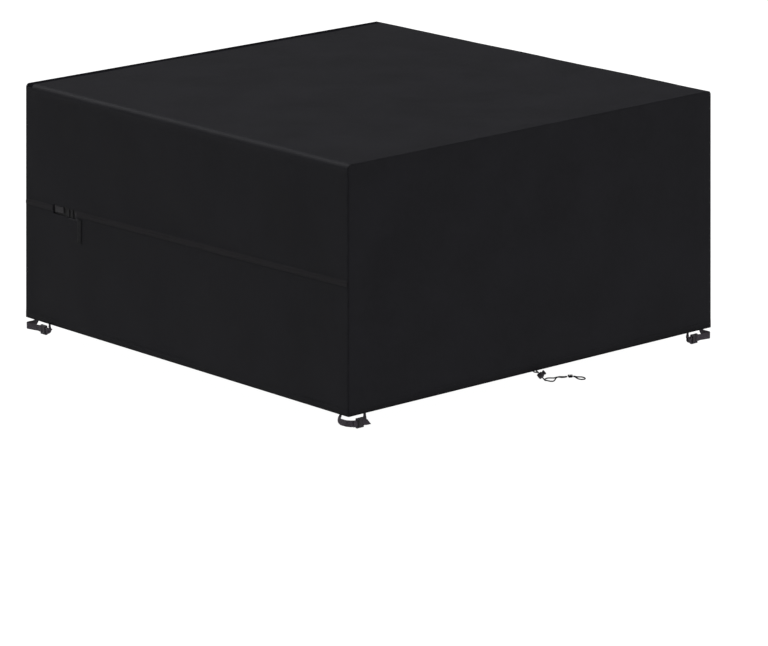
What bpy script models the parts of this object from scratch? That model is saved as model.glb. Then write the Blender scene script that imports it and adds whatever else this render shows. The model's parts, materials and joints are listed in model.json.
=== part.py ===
"""Fitted patio furniture cover: a hollow square cloth box with leg straps and a drawcord.

Units are metres, +Z up. The origin is at the middle of the top's underside, where the
cover rests on the furniture. The front (-Y) carries the drawcord and the left (-X) the
lapped seam and its vent. Each piece that a maker would cut or fit is one object.
"""

import math

import bmesh
import bpy
from mathutils import Matrix, Vector

# ---- cloth ----
SHEET = 0.0015                # thickness of the cloth
GAP = 0.0003                  # space left between pieces that touch
ROLL_RADIUS = 0.012           # roll of the main panel from the top to the side walls
HEM_DEPTH = 0.75              # outer top to hem

# ---- corners of the box: x, y and height above the nominal level ----
TOP_CORNERS = {
    "front_left": (-0.7470, -0.7540, -0.0020),
    "front_right": (0.7475, -0.7570, 0.0020),
    "rear_right": (0.7405, 0.7590, -0.0005),
    "rear_left": (-0.7425, 0.7530, 0.0005),
}
HEM_CORNERS = {
    "front_left": (-0.7570, -0.7635, 0.0015),
    "front_right": (0.7570, -0.7675, -0.0020),
    "rear_right": (0.7520, 0.7680, 0.0000),
    "rear_left": (-0.7535, 0.7640, 0.0000),
}
TOP_Z = SHEET
HEM_Z = TOP_Z - HEM_DEPTH

# ---- lapped seam on the left wall, and its vent ----
SEAM_DROP_FRONT = 0.3525      # from the top down to the middle of the lap
SEAM_DROP_REAR = 0.3760
LAP = 0.015
LAP_EASE = 0.006              # height over which the lap comes flush again
VENT_Y = (0.508, 0.616)
VENT_Z = (-0.3875, -0.3595)
VENT_MARGIN = 0.008           # mesh sewn past the window on each side
MESH_THICKNESS = 0.0010
STAY_THICKNESS = 0.0012
STAYS_Y = {"vent_stay_1": (0.5400, 0.5480), "vent_stay_2": (0.5220, 0.5300)}
PATCH_Y = (0.5670, 0.6120)
PATCH_Z = (-0.3800, -0.3602)
TAB_Y = (0.4770, 0.4990)
TAB_Z = (-0.4615, -0.3850)

# ---- leg straps ----
WEBBING_WIDTH = 0.020
WEBBING_THICKNESS = 0.0012
CORNER_BEND = 0.012           # bend of the webbing round the corner, seen from above
SEWN_HEIGHT = 0.024           # webbing sewn inside the hem
SEWN_OUT = -0.0030            # middle of the sewn webbing, from the wall's outer face
BUCKLE_HEIGHT = 0.030
BUCKLE_THICKNESS = 0.0085
SOCKET_LENGTH = 0.0178
PLUG_LENGTH = 0.0095
BUCKLE_GAP = 0.0005
SLOT_LENGTH = 0.0036
SLOT_HEIGHT = 0.0212
BAR = 0.0026
BAR_THICKNESS = 0.0026
# corner: (neighbour on the strap's side, neighbour on the buckle's side, buckle start,
#          drop at the corner, drop at the buckle, drop of the tail, lean of the tail)
STRAPS = {
    "front_left": ("rear_left", "front_right", 0.0280, 0.0205, 0.0245, 0.0275, -60),
    "rear_left": ("rear_right", "front_left", 0.0800, 0.0270, 0.0225, 0.0110, 60),
    "front_right": ("rear_right", "front_left", 0.0640, 0.0250, 0.0225, 0.0115, -60),
    "rear_right": ("front_right", "rear_left", 0.0400, 0.0220, 0.0250, 0.0220, 60),
}

# ---- drawcord and cord lock: x, y and drop below the hem ----
CORD_DIAMETER = 0.0040
CORD_STEP = 0.0060            # spacing of the points along the cord's tubes
LOCK_AT = (0.0120, -0.7720, 0.0160)
LOCK_AXIS = (0.670, -0.406, 0.618)     # towards the button
CORD_THROUGH_LOCK = (0.354, -0.564, -0.744)
LOCK_RADIUS = 0.0090
LOCK_ENDS = (-0.0095, 0.0075)
BORE_RADIUS = 0.0066
BORE_BOTTOM = -0.0082
BUTTON_RADIUS = 0.0074
BUTTON_HEIGHT = 0.0052
STEM_RADIUS = 0.0062
STEM_BOTTOM = -0.0037
BUTTON_TRAVEL = 0.0040
CORD_WINDOW = (0.0092, 0.0048)         # across the two strands, and along the lock's axis
KNOT_AT = (0.1795, -0.7295, 0.0590)
KNOT_ANGLE = -37
KNOT_HALF_LENGTH = 0.0092
KNOT_RADII = (0.0024, 0.0046, 0.0056, 0.0047, 0.0056, 0.0047, 0.0055, 0.0044, 0.0022)
BACK_STRAND = [
    (0.0030, -0.7600, -0.0080), (0.0043, -0.7603, 0.0010), (0.0095, -0.7642, 0.0083),
    (0.0134, -0.7704, 0.0165), (0.0153, -0.7735, 0.0206), (0.0173, -0.7766, 0.0247),
    (0.0202, -0.7781, 0.0282), (0.0242, -0.7769, 0.0304), (0.0288, -0.7736, 0.0312),
    (0.0363, -0.7683, 0.0325), (0.0480, -0.7601, 0.0350), (0.0630, -0.7516, 0.0385),
    (0.0780, -0.7436, 0.0428), (0.0930, -0.7346, 0.0475), (0.1080, -0.7261, 0.0522),
    (0.1220, -0.7181, 0.0565), (0.1320, -0.7128, 0.0584), (0.1405, -0.7116, 0.0588),
    (0.1485, -0.7134, 0.0598), (0.1550, -0.7176, 0.0610), (0.1622, -0.7215, 0.0610),
    (0.1699, -0.7252, 0.0600),
]
FRONT_STRAND = [
    (-0.0118, -0.7600, -0.0080), (-0.0108, -0.7603, -0.0020), (-0.0073, -0.7616, 0.0032),
    (-0.0013, -0.7638, 0.0056), (0.0063, -0.7668, 0.0075), (0.0087, -0.7705, 0.0114),
    (0.0106, -0.7736, 0.0155), (0.0131, -0.7775, 0.0207), (0.0156, -0.7815, 0.0259),
    (0.0185, -0.7830, 0.0296), (0.0225, -0.7818, 0.0320), (0.0272, -0.7784, 0.0334),
    (0.0350, -0.7729, 0.0362), (0.0470, -0.7654, 0.0407), (0.0610, -0.7574, 0.0462),
    (0.0760, -0.7484, 0.0517), (0.0900, -0.7404, 0.0562), (0.1040, -0.7319, 0.0604),
    (0.1180, -0.7229, 0.0630), (0.1320, -0.7130, 0.0634), (0.1430, -0.7051, 0.0634),
    (0.1520, -0.7008, 0.0634), (0.1607, -0.7016, 0.0634), (0.1668, -0.7070, 0.0634),
    (0.1695, -0.7142, 0.0624), (0.1725, -0.7214, 0.0604),
]
END_LOOP = [
    (0.1889, -0.7339, 0.0600), (0.1933, -0.7369, 0.0612), (0.1990, -0.7398, 0.0630),
    (0.2050, -0.7436, 0.0634), (0.2092, -0.7495, 0.0634), (0.2102, -0.7565, 0.0634),
    (0.2082, -0.7635, 0.0634), (0.2038, -0.7696, 0.0634), (0.1975, -0.7724, 0.0634),
    (0.1912, -0.7700, 0.0634), (0.1878, -0.7640, 0.0634), (0.1874, -0.7570, 0.0634),
    (0.1888, -0.7510, 0.0634), (0.1900, -0.7452, 0.0628), (0.1894, -0.7406, 0.0614),
    (0.1862, -0.7375, 0.0600),
]

CLOTH = ((0.018, 0.018, 0.020), 0.85)
MESH = ((0.006, 0.006, 0.007), 0.90)
WEBBING = ((0.030, 0.028, 0.030), 0.75)
PATCH = ((0.120, 0.115, 0.120), 0.80)
PLASTIC = ((0.014, 0.013, 0.015), 0.40)
CORD = ((0.020, 0.020, 0.024), 0.70)

UP = Vector((0, 0, 1))


# ---- scene helpers ----
def clear_scene():
    for item in list(bpy.data.objects):
        bpy.data.objects.remove(item, do_unlink=True)


def collection(name):
    group = bpy.data.collections.new(name)
    bpy.context.scene.collection.children.link(group)
    return group


def material(name, look):
    made = bpy.data.materials.new(name)
    made.use_nodes = True
    shader = made.node_tree.nodes["Principled BSDF"]
    shader.inputs["Base Color"].default_value = (*look[0], 1.0)
    shader.inputs["Roughness"].default_value = look[1]
    shader.inputs["Metallic"].default_value = 0.0
    return made


def add_piece(name, mesh, look, matrix=None):
    piece = bpy.data.objects.new(name, mesh)
    PIECES.objects.link(piece)
    if matrix is not None:
        piece.matrix_world = matrix
    if not mesh.materials:
        mesh.materials.append(None)
    piece.material_slots[0].link = "OBJECT"
    piece.material_slots[0].material = material(name, look)
    return piece


def mesh_of(name, points, faces):
    mesh = bpy.data.meshes.new(name)
    mesh.from_pydata([tuple(point) for point in points], [], faces)
    mesh.update()
    return mesh


def baked(piece, name):
    """The mesh that an object's modifiers give; the object itself is removed."""
    bpy.context.view_layer.update()
    seen = piece.evaluated_get(bpy.context.evaluated_depsgraph_get())
    mesh = bpy.data.meshes.new_from_object(seen)
    mesh.name = name
    bpy.data.objects.remove(piece, do_unlink=True)
    return mesh


def block(low, high, bevel=0.0):
    """A box between two corners, with bevelled edges, in the guide collection."""
    mesh = bpy.data.meshes.new("block")
    body = bmesh.new()
    bmesh.ops.create_cube(body, size=1.0)
    low, high = Vector(low), Vector(high)
    size = high - low
    bmesh.ops.scale(body, vec=size, verts=body.verts)
    bmesh.ops.translate(body, vec=(low + high) / 2, verts=body.verts)
    body.to_mesh(mesh)
    body.free()
    made = bpy.data.objects.new("block", mesh)
    GUIDES.objects.link(made)
    made.hide_render = True
    made.display_type = "WIRE"
    if bevel:
        edge = made.modifiers.new("Edge", "BEVEL")
        edge.width = bevel
        edge.segments = 1
        edge.limit_method = "ANGLE"
    return made


def turned(profile, steps=24):
    """A turned solid about Z from (radius, height) points, top to bottom."""
    points = [Vector((radius, 0, height)) for radius, height in profile]
    mesh = bpy.data.meshes.new("turned")
    mesh.from_pydata(points, [(i, i + 1) for i in range(len(points) - 1)], [])
    made = bpy.data.objects.new("turned", mesh)
    GUIDES.objects.link(made)
    made.hide_render = True
    made.display_type = "WIRE"
    turn = made.modifiers.new("Turn", "SCREW")
    turn.steps = steps
    turn.render_steps = steps
    turn.use_merge_vertices = True
    turn.merge_threshold = 0.00001
    turn.use_smooth_shade = True
    return made


def combine(target, others, operation):
    for other in others:
        join = target.modifiers.new(operation.title(), "BOOLEAN")
        join.operation = operation
        join.solver = "EXACT"
        join.object = other
    mesh = baked(target, "combined")
    for other in others:
        bpy.data.objects.remove(other, do_unlink=True)
    made = bpy.data.objects.new("combined", mesh)
    GUIDES.objects.link(made)
    made.hide_render = True
    made.display_type = "WIRE"
    return made


def smooth_path(points, parts):
    """Points on a Catmull-Rom curve through the given vectors, of any size."""
    ends = [points[0] * 2 - points[1]] + points + [points[-1] * 2 - points[-2]]
    made = []
    for i in range(1, len(ends) - 2):
        a, b, c, d = ends[i - 1:i + 3]
        for k in range(parts):
            t = k / parts
            made.append(0.5 * (2 * b + (c - a) * t + (2 * a - 5 * b + 4 * c - d) * t * t
                               + (3 * b - a - 3 * c + d) * t ** 3))
    made.append(points[-1].copy())
    return made


# ---- the cloth box ----
def corner(table, name):
    x, y, rise = table[name]
    level = TOP_Z if table is TOP_CORNERS else HEM_Z
    return Vector((x, y, level + rise))


def rolled(before, point, after, radius, steps=5):
    """Points of the arc that rounds off a corner of a path."""
    back = (before - point).normalized()
    ahead = (after - point).normalized()
    half = back.angle(ahead) / 2
    centre = point + (back + ahead).normalized() * radius / math.sin(half)
    start = point + back * radius / math.tan(half) - centre
    end = point + ahead * radius / math.tan(half) - centre
    return [centre + start.slerp(end, k / steps) * radius / start.slerp(end, k / steps).length
            for k in range(steps + 1)]


def billow(across, along, depth, folds, lean):
    """Soft unevenness of a panel, nothing at its edges; both ways run from 0 to 1."""
    hold = math.sin(math.pi * across) ** 2 * math.sin(math.pi * along) ** 2
    wave = math.sin(2 * math.pi * (folds * across + lean * along))
    return depth * hold * wave


def sheet(name, columns, look, thickness=SHEET):
    """A cloth sheet; columns run to the right and up as seen from outside."""
    high = len(columns[0])
    points = [point for column in columns for point in column]
    faces = [(i * high + j, (i + 1) * high + j, (i + 1) * high + j + 1, i * high + j + 1)
             for i in range(len(columns) - 1) for j in range(high - 1)]
    piece = add_piece(name, mesh_of(name, points, faces), look)
    body = piece.modifiers.new("Thickness", "SOLIDIFY")
    body.thickness = thickness
    body.offset = -1.0
    return piece


def seam_drop(share):
    return SEAM_DROP_FRONT + (SEAM_DROP_REAR - SEAM_DROP_FRONT) * share


def down_wall(top, hem, drop):
    return top + (hem - top) * (drop / (top.z - hem.z))


def main_section(share):
    """The main panel's outer line at one distance from the front, left wall to right hem."""
    left = corner(TOP_CORNERS, "front_left").lerp(corner(TOP_CORNERS, "rear_left"), share)
    right = corner(TOP_CORNERS, "front_right").lerp(corner(TOP_CORNERS, "rear_right"), share)
    left_hem = corner(HEM_CORNERS, "front_left").lerp(corner(HEM_CORNERS, "rear_left"), share)
    right_hem = corner(HEM_CORNERS, "front_right").lerp(corner(HEM_CORNERS, "rear_right"), share)
    seam = seam_drop(share)
    proud = Vector((-(SHEET + GAP), 0, 0))
    line = [down_wall(left, left_hem, seam + LAP / 2) + proud,
            down_wall(left, left_hem, seam - LAP / 2) + proud]
    flush = seam - LAP / 2 - LAP_EASE
    for k in range(5):
        point = down_wall(left, left_hem, flush + (0.03 - flush) * k / 5)
        point.x += billow(0.5 * (1 - k / 5), share, 0.0025, 1.0, 1.5)
        line.append(point)
    line += rolled(left_hem, left, right, ROLL_RADIUS)
    for k in range(1, 14):
        point = left.lerp(right, k / 14)
        point.z += billow(k / 14, share, 0.0020, 1.5, -1.0)
        line.append(point)
    line += rolled(left, right, right_hem, ROLL_RADIUS)
    for k in range(1, 9):
        point = right.lerp(right_hem, 0.04 + 0.96 * k / 8)
        point.x += billow(k / 8, share, 0.0030, 0.5, 1.5)
        line.append(point)
    return line


def make_main_panel():
    edge = (SHEET + GAP) / (TOP_CORNERS["rear_left"][1] - TOP_CORNERS["front_left"][1])
    steps = 14
    lines = [main_section(edge + (1 - 2 * edge) * k / steps) for k in range(steps + 1)]
    columns = [[line[i] for line in lines] for i in range(len(lines[0]))]
    panel = sheet("main_panel", columns, CLOTH)
    cut_window(panel)


def make_lower_left_panel():
    edge = (SHEET + GAP) / (TOP_CORNERS["rear_left"][1] - TOP_CORNERS["front_left"][1])
    steps, rows = 14, 7
    columns = []
    for i in range(steps + 1):
        share = 1 - edge - (1 - 2 * edge) * i / steps
        top = corner(TOP_CORNERS, "front_left").lerp(corner(TOP_CORNERS, "rear_left"), share)
        hem = corner(HEM_CORNERS, "front_left").lerp(corner(HEM_CORNERS, "rear_left"), share)
        start = seam_drop(share) - LAP / 2 + 0.0015
        column = []
        for j in range(rows + 1):
            point = hem.lerp(down_wall(top, hem, start), j / rows)
            point.x += billow(j / rows, share, 0.0025, 0.5, 2.0)
            column.append(point)
        columns.append(column)
    panel = sheet("lower_left_panel", columns, CLOTH)
    cut_window(panel)


def cut_window(panel):
    """Opens the vent's window through a panel of the left wall."""
    cutter = block((-0.80, VENT_Y[0], VENT_Z[0]), (-0.70, VENT_Y[1], VENT_Z[1]))
    cutter.name = panel.name + "_window"
    opening = panel.modifiers.new("Window", "BOOLEAN")
    opening.operation = "DIFFERENCE"
    opening.solver = "EXACT"
    opening.object = cutter


def make_side_panel(name, left_name, right_name, outward, folds, lean):
    """The front or the rear panel, rounded at its top corners to meet the main panel."""
    top_left, top_right = corner(TOP_CORNERS, left_name), corner(TOP_CORNERS, right_name)
    hem_left, hem_right = corner(HEM_CORNERS, left_name), corner(HEM_CORNERS, right_name)
    width = (top_right - top_left).length
    steps, middle, rows = 4, 12, 7
    places = [(ROLL_RADIUS * (1 - math.cos(k / steps * math.pi / 2)) / width,
               ROLL_RADIUS * (1 - math.sin(k / steps * math.pi / 2))) for k in range(steps + 1)]
    inner = [(ROLL_RADIUS / width + (1 - 2 * ROLL_RADIUS / width) * k / middle, 0.0)
             for k in range(1, middle)]
    places = places + inner + [(1 - share, drop) for share, drop in reversed(places)]
    columns = []
    for share, drop in places:
        top = top_left.lerp(top_right, share)
        hem = hem_left.lerp(hem_right, share)
        column = []
        for j in range(rows + 1):
            point = hem.lerp(down_wall(top, hem, drop), j / rows)
            point.y += outward * billow(share, j / rows, 0.0025, folds, lean)
            column.append(point)
        columns.append(column)
    sheet(name, columns, CLOTH)


# ---- vent and tab on the left wall ----
def wall_x(y, z):
    """The left wall's nominal outer face."""
    share = (y - TOP_CORNERS["front_left"][1]) / (
        TOP_CORNERS["rear_left"][1] - TOP_CORNERS["front_left"][1])
    top = TOP_CORNERS["front_left"][0] + share * (
        TOP_CORNERS["rear_left"][0] - TOP_CORNERS["front_left"][0])
    hem = HEM_CORNERS["front_left"][0] + share * (
        HEM_CORNERS["rear_left"][0] - HEM_CORNERS["front_left"][0])
    return top + (hem - top) * (TOP_Z - z) / HEM_DEPTH


def flat_piece(name, y_range, z_range, inset, thickness, look):
    """A small flat sheet parallel to the left wall, its outer face set in by inset."""
    columns = [[Vector((wall_x(y, z) + inset, y, z)) for z in z_range]
               for y in reversed(y_range)]
    return sheet(name, columns, look, thickness)


def make_vent():
    behind = SHEET + 0.0018
    flat_piece("vent_mesh", (VENT_Y[0] - VENT_MARGIN, VENT_Y[1] + VENT_MARGIN),
               (VENT_Z[0] - VENT_MARGIN, VENT_Z[1] + VENT_MARGIN), behind, MESH_THICKNESS, MESH)
    inside = (VENT_Z[0] + GAP, VENT_Z[1] - GAP)
    for name, span in STAYS_Y.items():
        flat_piece(name, span, inside, 0.0004, STAY_THICKNESS, WEBBING)
    flat_piece("vent_patch", PATCH_Y, PATCH_Z, 0.0004, STAY_THICKNESS, PATCH)
    flat_piece("seam_tab", TAB_Y, TAB_Z, -(GAP + STAY_THICKNESS + 0.0022), STAY_THICKNESS,
               WEBBING)


# ---- leg straps ----
def strap_frame(corner_name):
    """Gives point, outward and onward directions along a strap's line round a corner."""
    far_side, buckle_side = STRAPS[corner_name][:2]
    here = corner(HEM_CORNERS, corner_name)
    back = corner(HEM_CORNERS, far_side) - here
    ahead = corner(HEM_CORNERS, buckle_side) - here
    back.z = ahead.z = 0
    back.normalize()
    ahead.normalize()
    centre = here + (back + ahead) * CORNER_BEND

    def at(along):
        turn = min(max((along / CORNER_BEND + 1) / 2, 0), 1) * math.pi / 2
        outward = -(ahead * math.cos(turn) + back * math.sin(turn)).normalized()
        onward = (ahead * math.sin(turn) - back * math.cos(turn)).normalized()
        if along < -CORNER_BEND:
            point = here - back * along
        elif along > CORNER_BEND:
            point = here + ahead * along
        else:
            point = centre + outward * CORNER_BEND
        return point, outward, onward
    return at


def ribbon(name, at, rows, look):
    """Webbing along rows of (along, out, up, turn, lean, gather).

    The angles tip its width: it stands upright at turn 0 and lean 0, lies along the wall at
    turn 90, and points away from the wall at lean 90. The width is gathered by that share.
    """
    stations = smooth_path([Vector(row[:3]) for row in rows], 5)
    angles = smooth_path([Vector(row[3:]) for row in rows], 5)
    points, frames = [], []
    for station, angle in zip(stations, angles):
        point, outward, onward = at(station[0])
        points.append(point + outward * station[1] + UP * station[2])
        turn, lean = math.radians(angle[0]), math.radians(angle[1])
        frames.append((UP * math.cos(turn) + onward * math.sin(turn)) * math.cos(lean)
                      + outward * math.sin(lean))
    rings = []
    for i, point in enumerate(points):
        onward = (points[min(i + 1, len(points) - 1)] - points[max(i - 1, 0)]).normalized()
        flat = onward.cross(frames[i]).normalized()
        wide = flat.cross(onward) * WEBBING_WIDTH * angles[i][2] / 2
        flat = flat * WEBBING_THICKNESS / 2
        rings.append([point - wide - flat, point + wide - flat,
                      point + wide + flat, point - wide + flat])
    corners = [point for ring in rings for point in ring]
    faces = [(3, 2, 1, 0)]
    for i in range(len(rings) - 1):
        for k in range(4):
            n = (k + 1) % 4
            faces.append((4 * i + k, 4 * i + n, 4 * i + 4 + n, 4 * i + 4 + k))
    last = 4 * len(rings) - 4
    faces.append((last, last + 1, last + 2, last + 3))
    mesh = mesh_of(name, corners, faces)
    shell = bmesh.new()
    shell.from_mesh(mesh)
    bmesh.ops.recalc_face_normals(shell, faces=shell.faces)
    shell.to_mesh(mesh)
    shell.free()
    return add_piece(name, mesh, look)


def buckle_meshes():
    """Socket and plug, X from the plug to the socket's bar, Y through, Z across."""
    high, thick = BUCKLE_HEIGHT / 2, BUCKLE_THICKNESS / 2
    start = PLUG_LENGTH + BUCKLE_GAP
    end = start + SOCKET_LENGTH
    slot = SLOT_HEIGHT / 2
    socket = combine(block((start, -thick, -high), (end, thick, high), 0.0012), [
        block((start - 0.002, -0.0023, -0.0110), (start + 0.0098, 0.0023, 0.0110)),
        block((start + 0.0034, -0.0023, 0.0100), (start + 0.0090, 0.0023, 0.0200)),
        block((start + 0.0034, -0.0023, -0.0200), (start + 0.0090, 0.0023, -0.0100)),
        block((end - BAR - SLOT_LENGTH, -0.01, -slot), (end - BAR, 0.01, slot)),
        block((end - BAR - 0.001, BAR_THICKNESS / 2, -slot), (end + 0.01, 0.01, slot)),
        block((end - BAR - 0.001, -0.01, -slot), (end + 0.01, -BAR_THICKNESS / 2, slot)),
    ], "DIFFERENCE")
    plug = combine(block((0, -thick, -high), (PLUG_LENGTH, thick, high), 0.0012), [
        block((BAR, -0.01, -slot), (BAR + SLOT_LENGTH, 0.01, slot)),
        block((-0.01, BAR_THICKNESS / 2, -slot), (BAR + 0.001, 0.01, slot)),
        block((-0.01, -0.01, -slot), (BAR + 0.001, -BAR_THICKNESS / 2, slot)),
    ], "DIFFERENCE")
    plug = combine(plug, [
        block((PLUG_LENGTH - 0.002, -0.0018, -0.0020), (start + 0.0085, 0.0018, 0.0020)),
        block((PLUG_LENGTH - 0.002, -0.0018, 0.0076), (start + 0.0080, 0.0018, 0.0102)),
        block((PLUG_LENGTH - 0.002, -0.0018, -0.0102), (start + 0.0080, 0.0018, -0.0076)),
        block((start + 0.0040, -0.0017, 0.0080), (start + 0.0084, 0.0017, 0.0138)),
        block((start + 0.0040, -0.0017, -0.0138), (start + 0.0084, 0.0017, -0.0080)),
    ], "UNION")
    return baked(socket, "buckle_socket"), baked(plug, "buckle_plug")


def round_bar(edge, way, out, low):
    """Rows of webbing round a buckle's bar, from behind it to before it.

    The bar's edge on the slot's side is at edge, and the slot lies that way from it.
    """
    wrap = (BAR_THICKNESS + WEBBING_THICKNESS) / 2 + GAP
    turn = [(-BAR, -wrap), (-0.0004, -wrap), (0.0012, -wrap * 0.68), (0.0018, 0.0),
            (0.0012, wrap * 0.68), (-0.0004, wrap), (-BAR, wrap)]
    return [(edge + way * along, out + across, -low, 0, 0, 1) for along, across in turn]


def make_strap(corner_name, socket_mesh, plug_mesh):
    start, drop, low, tail, lean = STRAPS[corner_name][2:]
    at = strap_frame(corner_name)
    out = 0.0018                                  # buckle's middle, outside the wall's face
    ribbon("strap_" + corner_name, at, [
        (-0.0380, SEWN_OUT, SEWN_HEIGHT, 90, 0, 0.5), (-0.0380, SEWN_OUT, 0.010, 90, 0, 0.5),
        (-0.0385, SEWN_OUT, -0.003, 88, 0, 0.5), (-0.0405, -0.0010, -drop * 0.50, 66, 0, 0.7),
        (-0.0395, 0.0012, -drop * 0.84, 34, 0, 0.95), (-0.0310, 0.0022, -drop, 6, 0, 1),
        (-0.0160, 0.0024, -drop, 0, 0, 1), (0.0, 0.0026, -drop, 0, 0, 1),
        (start * 0.45, 0.0014, -(drop + low) / 2, 0, 0, 1),
        (start - 0.0060, out - 0.0024, -low, 0, 0, 1),
    ] + round_bar(start + BAR, 1, out, low) + [
        (start - 0.0050, out + 0.0014, -low, 0, 0, 1),
        (start - 0.0110, out + 0.0006, -low, 0, 0, 1),
    ], WEBBING)
    end = start + PLUG_LENGTH + BUCKLE_GAP + SOCKET_LENGTH
    ribbon("tail_strap_" + corner_name, at, [
        (end + 0.0200, out + 0.0034, -tail, 0, lean, 1),
        (end + 0.0130, out + 0.0034, -(tail + low) / 2, 0, lean * 0.7, 1),
        (end + 0.0060, out + 0.0030, -low, 0, lean * 0.15, 1),
    ] + round_bar(end - BAR, -1, out, low)[::-1] + [
        (end + 0.0045, out - 0.0028, -low + 0.0006, 12, 0, 1),
        (end + 0.0092, SEWN_OUT, -low + 0.0080, 60, 0, 0.75),
        (end + 0.0095, SEWN_OUT, -0.0045, 90, 0, 0.5),
        (end + 0.0095, SEWN_OUT, 0.0100, 90, 0, 0.5),
        (end + 0.0095, SEWN_OUT, SEWN_HEIGHT, 90, 0, 0.5),
    ], WEBBING)
    onward = at(start + 0.02)[2]
    origin = at(start)[0] + at(start + 0.02)[1] * out - UP * low
    side = UP.cross(onward)
    matrix = Matrix((
        (onward.x, side.x, 0, origin.x), (onward.y, side.y, 0, origin.y),
        (onward.z, side.z, 1, origin.z), (0, 0, 0, 1)))
    add_piece("buckle_socket_" + corner_name, socket_mesh, PLASTIC, matrix)
    add_piece("buckle_plug_" + corner_name, plug_mesh, PLASTIC, matrix)


# ---- drawcord ----
def below_hem(place):
    return Vector((place[0], place[1], HEM_Z - place[2]))


def tube(name, route):
    """A cord's tube along a smooth curve through its route's points."""
    fine = smooth_path([below_hem(place) for place in route], 24)
    reach = [0.0]
    for i in range(1, len(fine)):
        reach.append(reach[-1] + (fine[i] - fine[i - 1]).length)
    count = round(reach[-1] / CORD_STEP)
    points, k = [], 0
    for i in range(count + 1):
        while k < len(fine) - 1 and reach[k] < reach[-1] * i / count - 1e-9:
            k += 1
        points.append(fine[k])
    data = bpy.data.curves.new(name, "CURVE")
    data.dimensions = "3D"
    data.bevel_depth = CORD_DIAMETER / 2
    data.bevel_resolution = 2
    data.use_fill_caps = True
    line = data.splines.new("POLY")
    line.points.add(len(points) - 1)
    for target, point in zip(line.points, points):
        target.co = (*point, 1)
    data.materials.append(material(name, CORD))
    PIECES.objects.link(bpy.data.objects.new(name, data))


def lock_matrix():
    axis = Vector(LOCK_AXIS).normalized()
    through = Vector(CORD_THROUGH_LOCK)
    through = (through - axis * through.dot(axis)).normalized()
    side = axis.cross(through)
    origin = below_hem(LOCK_AT)
    return Matrix((
        (through.x, side.x, axis.x, origin.x), (through.y, side.y, axis.y, origin.y),
        (through.z, side.z, axis.z, origin.z), (0, 0, 0, 1)))


def make_cord_lock():
    """The lock's body and its sprung button; local X follows the cord, Z is the axis."""
    wide, high = CORD_WINDOW
    bottom, top = LOCK_ENDS
    body = turned([
        (0.0, top), (LOCK_RADIUS - 0.0012, top), (LOCK_RADIUS, top - 0.0015),
        (LOCK_RADIUS, bottom + 0.0035), (LOCK_RADIUS - 0.0012, bottom + 0.0012),
        (LOCK_RADIUS - 0.0036, bottom), (0.0, bottom)])
    body = combine(body, [
        turned([(0.0, top + 0.01), (BORE_RADIUS, top + 0.01), (BORE_RADIUS, BORE_BOTTOM),
                (0.0, BORE_BOTTOM)]),
        block((-0.02, -wide / 2, -high / 2), (0.02, wide / 2, high / 2)),
    ], "DIFFERENCE")
    add_piece("cord_lock_body", baked(body, "cord_lock_body"), PLASTIC, lock_matrix())
    rim = top + BUTTON_TRAVEL + 0.0003
    button = turned([
        (0.0, rim + BUTTON_HEIGHT), (BUTTON_RADIUS - 0.0020, rim + BUTTON_HEIGHT),
        (BUTTON_RADIUS - 0.0006, rim + BUTTON_HEIGHT - 0.0008),
        (BUTTON_RADIUS, rim + BUTTON_HEIGHT - 0.0022), (BUTTON_RADIUS, rim),
        (STEM_RADIUS, rim), (STEM_RADIUS, STEM_BOTTOM), (0.0, STEM_BOTTOM)])
    slot_top = high / 2 + BUTTON_TRAVEL + 0.0005
    button = combine(button, [
        block((-0.02, -wide / 2, -high / 2 - 0.0004), (0.02, wide / 2, slot_top)),
    ], "DIFFERENCE")
    add_piece("cord_lock_button", baked(button, "cord_lock_button"), PLASTIC, lock_matrix())


def make_knot():
    """The knot that ties the two strands together, a short lump with three turns."""
    count = len(KNOT_RADII)
    profile = [(radius, KNOT_HALF_LENGTH * (1 - 2 * k / (count - 1)))
               for k, radius in enumerate(KNOT_RADII)]
    profile = [(0.0, KNOT_HALF_LENGTH)] + profile + [(0.0, -KNOT_HALF_LENGTH)]
    mesh = baked(turned(profile, 16), "cord_knot")
    turn = Matrix.Rotation(math.radians(KNOT_ANGLE), 4, "Z") @ Matrix.Rotation(
        math.pi / 2, 4, "Y")
    add_piece("cord_knot", mesh, CORD, Matrix.Translation(below_hem(KNOT_AT)) @ turn)


def main():
    make_main_panel()
    make_lower_left_panel()
    make_side_panel("front_panel", "front_left", "front_right", -1, 1.5, 0.5)
    make_side_panel("rear_panel", "rear_right", "rear_left", 1, 2.0, 0.5)
    make_vent()
    socket_mesh, plug_mesh = buckle_meshes()
    for corner_name in STRAPS:
        make_strap(corner_name, socket_mesh, plug_mesh)
    tube("cord_back_strand", BACK_STRAND)
    tube("cord_front_strand", FRONT_STRAND)
    tube("cord_end_loop", END_LOOP)
    make_cord_lock()
    make_knot()


clear_scene()
PIECES = collection("patio_furniture_cover")
GUIDES = collection("guides")
main()
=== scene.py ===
"""Looks of the fitted patio furniture cover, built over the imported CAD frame. Metres, +Z up."""

import json
import math

import bmesh
import bpy
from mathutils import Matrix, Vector, noise

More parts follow.
